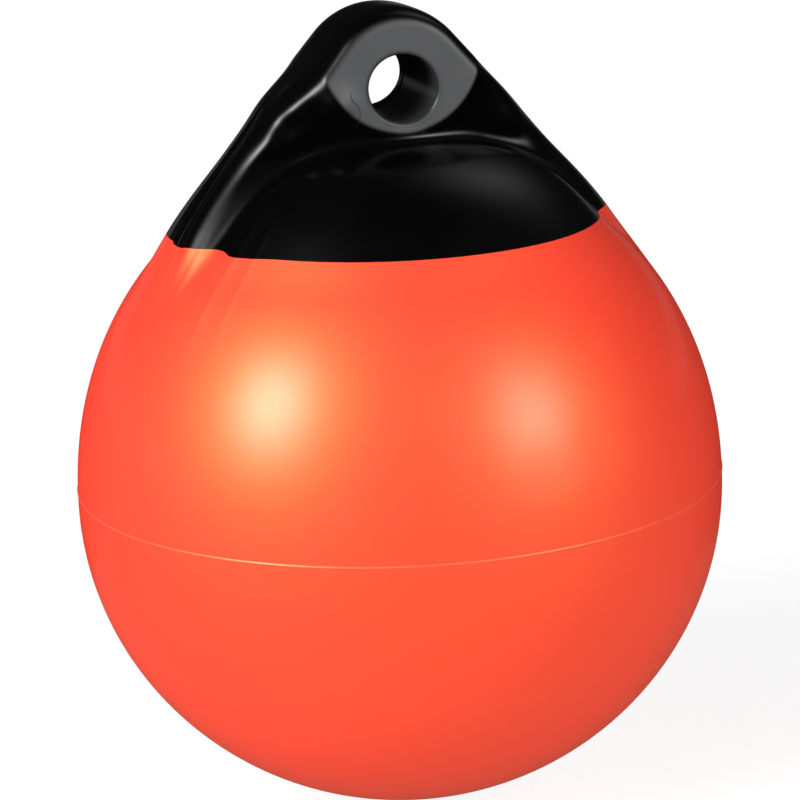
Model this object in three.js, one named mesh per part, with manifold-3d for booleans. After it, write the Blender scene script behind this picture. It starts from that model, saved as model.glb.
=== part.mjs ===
// Inflated mooring buoy: an orange vinyl ball drawn up into a black rope head
// with a solid, flat-cheeked lug and one rope eye, and a needle valve behind.
// Millimetres, +Z up. The origin is under the ball's lowest point, on its axis.
// The eye runs along Y, and the lug's narrow edges face -X and +X.

import * as THREE from 'three';
import { mergeVertices } from 'three/addons/utils/BufferGeometryUtils.js';
import Module from 'manifold-3d';

// The ball.
const BALL_RADIUS = 190;
// height of the blown crown above the widest ring, had it no lug
const CROWN_HEIGHT = 200;
// depth of the blown base below the widest ring
const BASE_DEPTH = 186.6;
// 2 is a true ellipse, more is fuller at the shoulder
const CROWN_FULLNESS = 2.08;
// mould parting bead, measured up from the widest ring
const PARTING_HEIGHT = 8.5;
const PARTING_BEAD_HEIGHT = 0.4;
const PARTING_BEAD_WIDTH = 1.8;

// The rope head.
// height of the colour seam above the widest ring
const SEAM_HEIGHT = 159.4;
// the gap left between the two mouldings where they are fused
const SEAM_GAP = 0.3;
// the round crown that stands up in front of and behind the lug
const CROWN_BASE = 120;
const CROWN_DOME_RADIUS = 126;
const CROWN_DOME_RISE = 93;
const CROWN_DOME_FULLNESS = 2.3;
// centre of the lug's arch, above the widest ring
const ARCH_HEIGHT = 238;
const ARCH_RADIUS = 46;
// at the height of the eye
const LUG_HALF_THICKNESS = 37;
// degrees that the flat cheeks lean in towards the top
const CHEEK_DRAFT = 7;
// the flat cheek ends below in this arc, where the lug draws in to a neck; its
// centre stands this far above that of the lug's arch
const NECK_ARC_RISE = 24.5;
const NECK_ARC_RADIUS = 45.5;
const NECK_SLOPE = 0.55;
const NECK_HALF_THICKNESS = 27;
// lean of the lug's straight flanks from upright
const FLANK_LEAN = 40.7;
// how much further out each flank runs below the arch
const LEFT_FLANK_SPREAD = 3;
const RIGHT_FLANK_SPREAD = 1.2;
// below this height the flanks draw in, to run out into the ball
const FLANK_RUNOUT_HEIGHT = 193;
// the larger, the more slowly they draw in
const FLANK_RUNOUT_LENGTH = 390;
// the thin wings along the flanks begin outside this leaning line
const WING_HALF_THICKNESS = 25;
const WING_LEAN = 34.6;
const WING_OFFSET = 36;
const WING_FADE = 26;
// the lug's root fades into the ball below this height
const LUG_ROOT_HEIGHT = 125;
// how far in from its outline the flat cheek ends, and the same on the wings
const EDGE_ROUNDING = 12;
const WING_ROUNDING = 15;
// 2 is an elliptic edge, more is squarer
const EDGE_SQUARENESS = 3.5;
const WING_SQUARENESS = 2.4;
// sizes of the fillets between body and crown, and between crown and lug
const CROWN_FILLET = 10;
const LUG_FILLET = 9;
const WING_FILLET = 18;

// The rope eye.
// centre of the eye above that of the lug's arch
const EYE_RISE = 1.5;
const EYE_HALF_HEIGHT = 18.8;
// width over height of the slightly oval eye
const EYE_OVAL = 1.06;
const EYE_LIP_RADIUS = 2.5;
const EYE_LAND_LENGTH = 5;
const EYE_LAND_STEP = 0.6;

// The needle valve.
const VALVE_HEIGHT = 176;
const VALVE_FLANGE_RADIUS = 8;
const VALVE_FLANGE_THICKNESS = 1.6;
const VALVE_STEM_RADIUS = 5.5;
const VALVE_STEM_LENGTH = 14;
const NEEDLE_HOLE_RADIUS = 0.9;
const NEEDLE_HOLE_DEPTH = 11;
const NEEDLE_FUNNEL_RADIUS = 2.6;
const VALVE_CLEARANCE = 0.3;

// How finely the skin is laid out.
const AROUND_QUARTER = 21;
const BASE_RINGS = 13;
const CROWN_RINGS = 9;
const HEAD_RINGS = 33;

// Heights that follow the lug's arch.
const EYE_HEIGHT = ARCH_HEIGHT + EYE_RISE;
const NECK_ARC_HEIGHT = ARCH_HEIGHT + NECK_ARC_RISE;

const rad = THREE.MathUtils.degToRad;
const { clamp, lerp, smoothstep } = THREE.MathUtils;

// Folds pulled into the vinyl along the lug's narrow edges, where the ball is
// stretched up to the eye. Each runs from its upper end down to its lower end.
// The upper end is given as height above the centre of the arch and distance
// across the edge, and the lower end as height above the seam and distance
// across. lift is outwards, and a negative lift is a valley.
const FOLDS = [
  { edge: -1, top: [-6, -8], foot: [-31.4, -36], width: 6.5, lift: 2.6 },
  { edge: -1, top: [-2, 5], foot: [-9.4, -14], width: 3.5, lift: -1.6 },
  { edge: -1, top: [-16, -20], foot: [-27.4, -52], width: 8, lift: -2.0 },
  { edge: -1, top: [-12, 24], foot: [-13.4, 48], width: 9, lift: -2.0 },
  { edge: 1, top: [-16, -22], foot: [-19.4, -46], width: 10, lift: -2.0 },
  { edge: 1, top: [-14, 20], foot: [-13.4, 44], width: 9, lift: -2.0 },
];

// One soft bump and the hollow under it, high on the -X edge. Each is placed
// by its distance along X and Y and its height above the centre of the arch.
const BUMPS = [
  { at: [-60, -13, 1], radius: 9, lift: 2.6 },
  { at: [-68, -28, -16], radius: 8, lift: -2.4 },
];

function blendSmaller(a, b, size) {
  const h = clamp(0.5 + 0.5 * (b - a) / size, 0, 1);
  return lerp(b, a, h) - size * h * (1 - h);
}

// Distance-like value of the blown body: below zero inside.
function bodyGap(x, y, h) {
  const reach = h > 0 ? CROWN_HEIGHT : BASE_DEPTH;
  const power = h > 0 ? CROWN_FULLNESS : 2;
  const out = Math.hypot(x, y) / BALL_RADIUS;
  const up = Math.abs(h) / reach;
  return BALL_RADIUS * ((out ** power + up ** power) ** (1 / power) - 1);
}

// The same for the round crown that stands on the body.
function crownGap(x, y, h) {
  const out = Math.hypot(x, y) / CROWN_DOME_RADIUS;
  const up = Math.max(0, h - CROWN_BASE) / CROWN_DOME_RISE;
  const power = CROWN_DOME_FULLNESS;
  const sunk = 2 * Math.max(0, CROWN_BASE - 40 - h);
  return CROWN_DOME_RISE * ((out ** power + up ** power) ** (1 / power) - 1) + sunk;
}

// Distance of a point in the lug's own plane from its arched outline.
function lugOutlineGap(x, h) {
  const lean = rad(FLANK_LEAN);
  const px = Math.abs(x);
  const ph = h - ARCH_HEIGHT;
  const along = ph * Math.cos(lean) - px * Math.sin(lean);
  const spread = (x < 0 ? LEFT_FLANK_SPREAD : RIGHT_FLANK_SPREAD) * smoothstep(-along, 22, 55);
  const flank = px * Math.cos(lean) + ph * Math.sin(lean) - spread;
  const gap = (along > 0 ? Math.hypot(px, ph) : flank) - ARCH_RADIUS;
  const runOut = Math.max(0, FLANK_RUNOUT_HEIGHT - h);
  return gap + runOut * runOut / FLANK_RUNOUT_LENGTH;
}

// Half thickness of the lug: full on the flat cheek, less at the neck under
// it, and least on the wings.
function lugHalfThickness(x, h) {
  const draft = Math.tan(rad(CHEEK_DRAFT));
  const full = LUG_HALF_THICKNESS + draft * (EYE_HEIGHT - Math.max(h, EYE_HEIGHT - 25));
  const below = h < NECK_ARC_HEIGHT ? Math.max(0, Math.hypot(x, h - NECK_ARC_HEIGHT) - NECK_ARC_RADIUS) : 0;
  const drop = NECK_SLOPE * (below < 4 ? below * below / 8 : below - 2);
  const room = full - NECK_HALF_THICKNESS;
  const half = full - room * (1 - Math.exp(-drop / room));
  const lean = rad(WING_LEAN);
  const out = Math.abs(x) * Math.cos(lean) + (h - ARCH_HEIGHT) * Math.sin(lean) - WING_OFFSET;
  const wing = smoothstep(out, 0, WING_FADE) * smoothstep(EYE_HEIGHT - h, 0, 26);
  return lerp(half, WING_HALF_THICKNESS, wing);
}

function lugGap(x, y, h) {
  const low = smoothstep(EYE_HEIGHT - h, -5, 40);
  const rounding = lerp(EDGE_ROUNDING, WING_ROUNDING, low);
  const power = lerp(EDGE_SQUARENESS, WING_SQUARENESS, low);
  const half = lugHalfThickness(x, h);
  const inEdge = Math.max(0, lugOutlineGap(x, h) + rounding) / rounding;
  const across = Math.abs(y) / half;
  const sunk = 0.6 * Math.max(0, LUG_ROOT_HEIGHT - h);
  return half * ((inEdge ** power + across ** power) ** (1 / power) - 1) + sunk;
}

function foldLift(x, y, h) {
  let lift = 0;
  for (const fold of FOLDS) {
    if (x * fold.edge <= 0) continue;
    const topHeight = ARCH_HEIGHT + fold.top[0];
    const footHeight = SEAM_HEIGHT + fold.foot[0];
    const t = (topHeight - h) / (topHeight - footHeight);
    if (t <= 0 || t >= 1) continue;
    const middle = lerp(fold.top[1], fold.foot[1], t);
    const fade = smoothstep(t, 0, 0.25) * (1 - smoothstep(t, 0.6, 1));
    const near = smoothstep(Math.abs(x), 25, 50);
    lift += fold.lift * fade * near * Math.exp(-(((y - middle) / fold.width) ** 2));
  }
  for (const bump of BUMPS) {
    const away = Math.hypot(x - bump.at[0], y - bump.at[1], h - ARCH_HEIGHT - bump.at[2]);
    lift += bump.lift * Math.exp(-((away / bump.radius) ** 2));
  }
  return lift;
}

function beadLift(h) {
  const off = Math.abs(h - PARTING_HEIGHT) / (PARTING_BEAD_WIDTH / 2);
  return off < 1 ? PARTING_BEAD_HEIGHT * (1 - off) : 0;
}

function skinGap(x, y, h) {
  const blown = blendSmaller(bodyGap(x, y, h), crownGap(x, y, h), CROWN_FILLET);
  const fillet = lerp(LUG_FILLET, WING_FILLET, smoothstep(-h, -205, -155));
  const plain = blendSmaller(blown, lugGap(x, y, h), fillet);
  return plain - foldLift(x, y, h) - beadLift(h);
}

// The skin's point along a ray that leaves the axis at a height, in a
// direction given by its angle round the axis and its rise.
function skinPoint(height, turn, rise) {
  const out = Math.cos(rise);
  const dir = [out * Math.cos(turn), out * Math.sin(turn), Math.sin(rise)];
  let inside = 0;
  let outside = 1.6 * BALL_RADIUS;
  for (let i = 0; i < 30; i += 1) {
    const mid = (inside + outside) / 2;
    const gap = skinGap(mid * dir[0], mid * dir[1], height + mid * dir[2]);
    if (gap < 0) inside = mid;
    else outside = mid;
  }
  return [inside * dir[0], inside * dir[1], height + inside * dir[2]];
}

// Angles round the axis, closer together at the lug's narrow edges.
function turns() {
  const list = [];
  for (let quarter = 0; quarter < 4; quarter += 1) {
    for (let i = 0; i < AROUND_QUARTER; i += 1) {
      const t = i / AROUND_QUARTER;
      const eased = quarter % 2 === 0 ? t ** 1.35 : 1 - (1 - t) ** 1.35;
      list.push((quarter + eased) * Math.PI / 2);
    }
  }
  return list;
}

// A closed skin from a stack of rings, each a list of points that all have the
// same count, with one point closing each end. Each four-sided patch is split along
// its shorter diagonal, so that the fillets run smoothly.
function skinFromRings(first, rings, last) {
  const count = rings[0].length;
  const flat = [first, ...rings.flat(), last].flat();
  const apart = (i, j) => Math.hypot(...[0, 1, 2].map((k) => flat[3 * i + k] - flat[3 * j + k]));
  const index = [];
  for (let i = 0; i < count; i += 1) {
    const j = (i + 1) % count;
    index.push(0, 1 + j, 1 + i);
    for (let r = 0; r + 1 < rings.length; r += 1) {
      const a = 1 + r * count + i;
      const b = 1 + r * count + j;
      if (apart(a, b + count) < apart(b, a + count)) index.push(a, b, b + count, a, b + count, a + count);
      else index.push(a, b, a + count, b, b + count, a + count);
    }
    const top = 1 + (rings.length - 1) * count;
    index.push(1 + rings.length * count, top + i, top + j);
  }
  const geometry = new THREE.BufferGeometry();
  geometry.setAttribute('position', new THREE.Float32BufferAttribute(flat, 3));
  geometry.setIndex(index);
  return geometry;
}

function floatBallGeometry() {
  const around = turns();
  const rings = [];
  for (let i = 1; i < BASE_RINGS; i += 1) {
    const rise = -Math.PI / 2 * (1 - i / BASE_RINGS);
    rings.push(around.map((turn) => skinPoint(0, turn, rise)));
  }
  const rim = SEAM_HEIGHT - SEAM_GAP / 2;
  const bead = PARTING_BEAD_WIDTH / 2;
  const heights = [0, PARTING_HEIGHT - bead, PARTING_HEIGHT, PARTING_HEIGHT + bead];
  const start = PARTING_HEIGHT + bead;
  for (let i = 1; i <= CROWN_RINGS; i += 1) {
    const eased = Math.sin(i / CROWN_RINGS * Math.PI / 2);
    heights.push(start + (rim - start) * eased);
  }
  heights.forEach((height) => rings.push(around.map((turn) => skinPoint(height, turn, 0))));
  const pole = skinPoint(0, 0, -Math.PI / 2);
  return skinFromRings(pole, rings, [0, 0, rim]);
}

// Where ring number s of the head, 0 at the seam and 1 at the top of the arch,
// meets the lug's narrow edge and its broad side.
function headGuide(s) {
  const lean = rad(FLANK_LEAN);
  const archShare = 0.225;
  const shoulder = [ARCH_RADIUS * Math.cos(lean), ARCH_HEIGHT + ARCH_RADIUS * Math.sin(lean)];
  const foot = [shoulder[0] + (shoulder[1] - SEAM_HEIGHT) * Math.tan(lean), SEAM_HEIGHT];
  let edge;
  if (s < 1 - archShare) {
    const t = s / (1 - archShare);
    edge = [lerp(foot[0], shoulder[0], t), lerp(foot[1], shoulder[1], t)];
  } else {
    const angle = lerp(lean, Math.PI / 2, (s - 1 + archShare) / archShare);
    edge = [ARCH_RADIUS * Math.cos(angle), ARCH_HEIGHT + ARCH_RADIUS * Math.sin(angle)];
  }
  const crownShare = 0.4;
  const topShare = 0.22;
  const shelf = CROWN_HEIGHT - 3;
  const brow = ARCH_HEIGHT + ARCH_RADIUS - 13;
  let side;
  if (s < crownShare) {
    const t = s / crownShare;
    const reach = BALL_RADIUS * Math.sqrt(1 - (SEAM_HEIGHT / CROWN_HEIGHT) ** 2);
    const angle = Math.acos(clamp(lerp(1, LUG_HALF_THICKNESS / reach, t), 0, 1));
    const full = Math.acos(LUG_HALF_THICKNESS / reach);
    side = [lerp(reach, LUG_HALF_THICKNESS, t), lerp(SEAM_HEIGHT, shelf, Math.sin(angle / full * Math.PI / 2))];
  } else if (s < 1 - topShare) {
    side = [LUG_HALF_THICKNESS, lerp(shelf, brow, (s - crownShare) / (1 - topShare - crownShare))];
  } else {
    const angle = (s - 1 + topShare) / topShare * Math.PI / 2;
    const top = ARCH_HEIGHT + ARCH_RADIUS;
    side = [LUG_HALF_THICKNESS * Math.cos(angle), lerp(brow, top, Math.sin(angle))];
  }
  return { edge, side };
}

function headSkinGeometry() {
  const around = turns();
  const rings = [];
  const rim = SEAM_HEIGHT + SEAM_GAP / 2;
  for (let i = 0; i < HEAD_RINGS; i += 1) {
    const s = i / HEAD_RINGS;
    const { edge, side } = headGuide(s);
    const height = rim + (ARCH_HEIGHT - rim) * s ** 1.2;
    const riseEdge = Math.atan2(Math.max(0, edge[1] - height), edge[0]);
    const riseSide = Math.atan2(Math.max(0, side[1] - height), side[0]);
    const ring = around.map((turn) => {
      const rise = i === 0 ? 0 : lerp(riseEdge, riseSide, Math.sin(turn) ** 2);
      return skinPoint(height, turn, rise);
    });
    rings.push(ring);
  }
  const top = skinPoint(ARCH_HEIGHT, 0, Math.PI / 2);
  return skinFromRings([0, 0, rim], rings, top);
}

// The rope eye as the shape that is taken out: rounded lips at both cheeks,
// a narrow land inside each lip, and a bore a little wider between the lands.
function eyeCutterGeometry() {
  const face = LUG_HALF_THICKNESS;
  const r = EYE_HALF_HEIGHT;
  const lip = EYE_LIP_RADIUS;
  const half = [];
  half.push([r + EYE_LAND_STEP, face - lip - EYE_LAND_LENGTH - EYE_LAND_STEP]);
  half.push([r, face - lip - EYE_LAND_LENGTH]);
  for (let i = 0; i <= 4; i += 1) {
    const angle = i / 4 * Math.PI / 2;
    half.push([r + lip * (1 - Math.cos(angle)), face - lip + lip * Math.sin(angle)]);
  }
  half.push([r + lip, face + 14]);
  const points = [new THREE.Vector2(0, -face - 14)];
  half.slice().reverse().forEach(([out, along]) => points.push(new THREE.Vector2(out, -along)));
  half.forEach(([out, along]) => points.push(new THREE.Vector2(out, along)));
  points.push(new THREE.Vector2(0, face + 14));
  const cutter = new THREE.LatheGeometry(points, 52);
  cutter.scale(EYE_OVAL, 1, 1);
  // the lips follow the lean of the cheeks
  const place = cutter.attributes.position;
  for (let i = 0; i < place.count; i += 1) {
    const lean = 1 - Math.tan(rad(CHEEK_DRAFT)) * place.getZ(i) / face;
    place.setY(i, place.getY(i) * lean);
  }
  // a lathe stands along Y, and so does the eye
  cutter.translate(0, 0, EYE_HEIGHT);
  return cutter;
}

// Outline of the valve's stem and flange, grown by a clearance for its seat.
function valveOutline(clearance, above) {
  const flange = VALVE_FLANGE_RADIUS + clearance;
  const stem = VALVE_STEM_RADIUS + clearance;
  const under = -VALVE_FLANGE_THICKNESS - clearance;
  return [
    new THREE.Vector2(0, -VALVE_STEM_LENGTH - clearance),
    new THREE.Vector2(stem - 0.8, -VALVE_STEM_LENGTH - clearance),
    new THREE.Vector2(stem, -VALVE_STEM_LENGTH + 0.8 - clearance),
    new THREE.Vector2(stem, under),
    new THREE.Vector2(flange, under),
    new THREE.Vector2(flange, above),
    new THREE.Vector2(0, above),
  ];
}

function valveGeometry() {
  const outline = valveOutline(0, 0).slice(0, -2);
  const edge = 0.5;
  outline.push(new THREE.Vector2(VALVE_FLANGE_RADIUS, -edge));
  outline.push(new THREE.Vector2(VALVE_FLANGE_RADIUS - edge, 0));
  outline.push(new THREE.Vector2(NEEDLE_FUNNEL_RADIUS, 0));
  outline.push(new THREE.Vector2(NEEDLE_HOLE_RADIUS, -NEEDLE_FUNNEL_RADIUS + NEEDLE_HOLE_RADIUS));
  outline.push(new THREE.Vector2(NEEDLE_HOLE_RADIUS, -NEEDLE_HOLE_DEPTH));
  outline.push(new THREE.Vector2(0, -NEEDLE_HOLE_DEPTH - NEEDLE_HOLE_RADIUS));
  return new THREE.LatheGeometry(outline, 24);
}

// The valve's place on the back of the crown, square to the skin there.
function valvePose() {
  const [x, y, h] = skinPoint(VALVE_HEIGHT, Math.PI / 2, 0);
  const step = 0.5;
  const slopeY = skinGap(x, y + step, h) - skinGap(x, y - step, h);
  const slopeH = skinGap(x, y, h + step) - skinGap(x, y, h - step);
  const normal = new THREE.Vector3(0, slopeY, slopeH).normalize();
  const turn = new THREE.Quaternion().setFromUnitVectors(new THREE.Vector3(0, 1, 0), normal);
  return new THREE.Matrix4().compose(new THREE.Vector3(0, y, h), turn, new THREE.Vector3(1, 1, 1));
}

const wasm = await Module();
wasm.setup();

function toSolid(geometry) {
  const bare = geometry.clone();
  bare.deleteAttribute('normal');
  bare.deleteAttribute('uv');
  const merged = mergeVertices(bare, 1e-4);
  const mesh = new wasm.Mesh({
    numProp: 3,
    vertProperties: new Float32Array(merged.attributes.position.array),
    triVerts: new Uint32Array(merged.index.array),
  });
  return new wasm.Manifold(mesh);
}

function toGeometry(solid) {
  const mesh = solid.getMesh();
  const geometry = new THREE.BufferGeometry();
  geometry.setAttribute('position', new THREE.BufferAttribute(new Float32Array(mesh.vertProperties), 3));
  geometry.setIndex(new THREE.BufferAttribute(new Uint32Array(mesh.triVerts), 1));
  geometry.computeVertexNormals();
  return geometry;
}

const orangeVinyl = new THREE.MeshStandardMaterial({ color: 0xff5533, roughness: 0.28, metalness: 0 });
const blackVinyl = new THREE.MeshStandardMaterial({ color: 0x0b0b0c, roughness: 0.25, metalness: 0 });
const blackRubber = new THREE.MeshStandardMaterial({ color: 0x161616, roughness: 0.7, metalness: 0 });

const buoy = new THREE.Group();
// the widest ring stands this far above the origin
buoy.position.z = BASE_DEPTH;

const pose = valvePose();

const ball = new THREE.Mesh(floatBallGeometry(), orangeVinyl);
ball.geometry.computeVertexNormals();
ball.name = 'float_ball';
buoy.add(ball);

const seatGeometry = new THREE.LatheGeometry(valveOutline(VALVE_CLEARANCE, 12), 24);
const headSolid = toSolid(headSkinGeometry())
  .subtract(toSolid(eyeCutterGeometry()))
  .subtract(toSolid(seatGeometry.applyMatrix4(pose)));
const head = new THREE.Mesh(toGeometry(headSolid), blackVinyl);
head.name = 'rope_head';
buoy.add(head);

const valve = new THREE.Mesh(valveGeometry(), blackRubber);
valve.name = 'inflation_valve';
valve.applyMatrix4(pose);
buoy.add(valve);

export default buoy;
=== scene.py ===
"""Inflated mooring buoy in glossy vinyl: the dressed model, its stage and its camera."""
import math

import bpy
import numpy as np
from bpy.props import FloatProperty, FloatVectorProperty, IntProperty, PointerProperty
from mathutils import Matrix, Vector


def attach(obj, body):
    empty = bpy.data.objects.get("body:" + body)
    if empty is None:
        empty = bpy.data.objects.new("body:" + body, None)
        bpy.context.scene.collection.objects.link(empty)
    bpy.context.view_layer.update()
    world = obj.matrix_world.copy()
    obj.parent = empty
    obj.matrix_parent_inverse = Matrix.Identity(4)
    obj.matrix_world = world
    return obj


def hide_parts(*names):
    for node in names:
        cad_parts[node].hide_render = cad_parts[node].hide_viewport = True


bl_info = {
    "name": "Mooring buoy",
    "version": (1, 0, 0),
    "blender": (4, 5, 0),
    "location": "View3D > Sidebar > Buoy",
    "description": "Builds an inflated vinyl mooring buoy with a rope head, on a white studio floor",
    "category": "Object",
}

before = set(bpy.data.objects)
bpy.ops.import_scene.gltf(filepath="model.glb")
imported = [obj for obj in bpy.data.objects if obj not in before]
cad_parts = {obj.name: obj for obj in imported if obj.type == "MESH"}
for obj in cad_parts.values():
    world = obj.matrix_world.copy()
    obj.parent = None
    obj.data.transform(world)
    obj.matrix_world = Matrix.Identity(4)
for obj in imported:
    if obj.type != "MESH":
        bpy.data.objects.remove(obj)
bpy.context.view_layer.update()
MM = 0.001

# Folds pulled into the vinyl along the narrow edges of the lug, where the ball
# is stretched up to the eye. Each has its upper and its lower end, as height
# above the widest ring and distance across the edge in millimetres, a width
# and a lift, which is below zero for a valley. edge tells the -X from the +X edge.
FOLDS = (
    dict(edge=-1, top=(232, -8), foot=(128, -36), width=6.5, lift=2.6),
    dict(edge=-1, top=(236, 5), foot=(150, -14), width=3.5, lift=-1.6),
    dict(edge=-1, top=(222, -20), foot=(132, -52), width=8, lift=-2.0),
    dict(edge=-1, top=(226, 24), foot=(146, 48), width=9, lift=-2.0),
    dict(edge=1, top=(222, -22), foot=(140, -46), width=10, lift=-2.0),
    dict(edge=1, top=(224, 20), foot=(146, 44), width=9, lift=-2.0),
    # the finest creases, thinner than the facets of the part's plain solid
    dict(edge=-1, top=(244, 8), foot=(138, 2), width=1.7, lift=0.7),
    dict(edge=-1, top=(236, 2), foot=(126, -24), width=1.6, lift=0.7),
    dict(edge=-1, top=(205, -26), foot=(112, -44), width=2.2, lift=0.5),
    dict(edge=-1, top=(196, -48), foot=(104, -78), width=2.6, lift=0.35),
    dict(edge=-1, top=(186, -60), foot=(110, -92), width=2.0, lift=0.25),
)

# The hairline on the front cheek: distance along X and height above the widest
# ring, from its lower end up.
HAIRLINE = ((-29, 221), (-27, 225.5), (-26.5, 228.5), (-28, 232.5), (-31, 236.5), (-31, 240))
HAIRLINE_WIDTH = 0.28
HAIRLINE_FRONT = 30

# Steps in the colour seam where the folds cross it, on the -X side: the start and
# the end of each in degrees round the axis, and its drop in millimetres.
SEAM_STEPS = ((2, 4.5, 1.3), (9, 12, -1.1), (24, 27, 1.2), (28, 44, -1.4))

# Soft bumps and hollows: place, radius and lift in millimetres.
BUMPS = (
    dict(at=(-60, -13, 239), radius=9, lift=2.6),
    dict(at=(-68, -28, 222), radius=8, lift=-2.4),
    dict(at=(-39, -36, 232), radius=9, lift=4.0),
    dict(at=(27, -182, 47), radius=16, lift=-0.25),
    dict(at=(61, -171, 58), radius=15, lift=-0.25),
    dict(at=(120, -138, 55), radius=18, lift=-0.25),
)

# Distances in millimetres over which one form of the skin passes into the next. The
# fillet changes between two heights above the widest ring.
CHEEK_DEPTH = 25
EYE_ZONE = 30
NECK_START = 4
WING_START = 26
EDGE_CHANGE = (-5, 40)
SPREAD_CHANGE = (22, 55)
FILLET_CHANGE = (155, 205)
CHEEK_FADE = 5
NECK_FADE = (0.5, 2.5)
FACE_FADE = (-5, -3)
FOLD_START = (25, 50)
CROWN_ROOT = 40
CROWN_ROOT_SLOPE = 2
LUG_ROOT_SLOPE = 0.6

# How the skin's points are found along a ray, and how they crowd at the folds.
RAY_STEPS = 24
RAY_REACH = 1.6
CROWDING = 1.35

# Rings of points from the base to the widest ring, on to the seam and on to the top,
# and the height in millimetres over which the ball's rings follow the stepped seam.
BASE_RINGS = 70
BALL_RINGS = 84
HEAD_RINGS = 190
SEAM_BLEND = 25

# Facets round the eye and over its lip, and how far its cutter runs past the cheek.
EYE_AROUND = 144
LIP_STEPS = 12
EYE_OVERRUN = 14
VALVE_AROUND = 64

# The needle valve's turned outline, as radius and height over the skin in
# millimetres, and how far the needle passage's pointed end runs past it.
VALVE_BARREL = [(4.7, -14), (5.5, -13.2), (5.5, -1.6)]
VALVE_FLANGE = [(8, -1.6), (8, -0.6), (7.85, -0.25), (7.5, 0), (6.4, 0.05), (6.1, -0.15), (5.8, 0.05)]
VALVE_MOUTH = [(2.9, 0), (2.5, -0.15), (0.9, -1.7), (0.9, -11)]
PASSAGE_POINT = 0.9

# How far the camera looks past the ball's centre, as slopes, and the half width of the floor in metres.
AIM_RIGHT = 0.0011
AIM_UP = 0.0284
FLOOR_HALF = 9.0

# The white sheet that the gloss mirrors ends here, in metres along X and Y.
SHEET_X = (-0.43, 0.47)
SHEET_Y = (-0.23, 0.4)

# Soft lamps: azimuth, elevation and spread in degrees. The wide ones are their faint halo,
# which has this share of the brightness.
KEY_LAMP = (-68.3, 29.7)
FILL_LAMP = (36, 23)
LAMP_SPREAD = 9.5
HALO_SPREAD = 30
HALO_SHARE = 0.003
SCREEN_PLACE = (122, 50)
SCREEN_SPREAD = 10

# The backdrop fills the directions whose Z is less than the first and whose Y is more than the second.
BACKDROP_TOP = 0.1
BACKDROP_SIDE = 0.3

# The seen floor: a faint grey that takes the shadow, and a glow that brings it to white.
FLOOR_PAPER = 0.2
FLOOR_GLOW = 0.87
FLOOR_BOUNCE = 0.8
# The warm tint of the mirrored sheet is painted bounce light from the orange ball.
SHEET_PAINTED_BOUNCE = (1, 0.9, 0.7, 1)


def ease(value, low, high):
    t = np.clip((value - low) / (high - low), 0, 1)
    return t * t * (3 - 2 * t)


def blend_smaller(a, b, size):
    t = np.clip(0.5 + 0.5 * (b - a) / size, 0, 1)
    return b + (a - b) * t - size * t * (1 - t)


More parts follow.
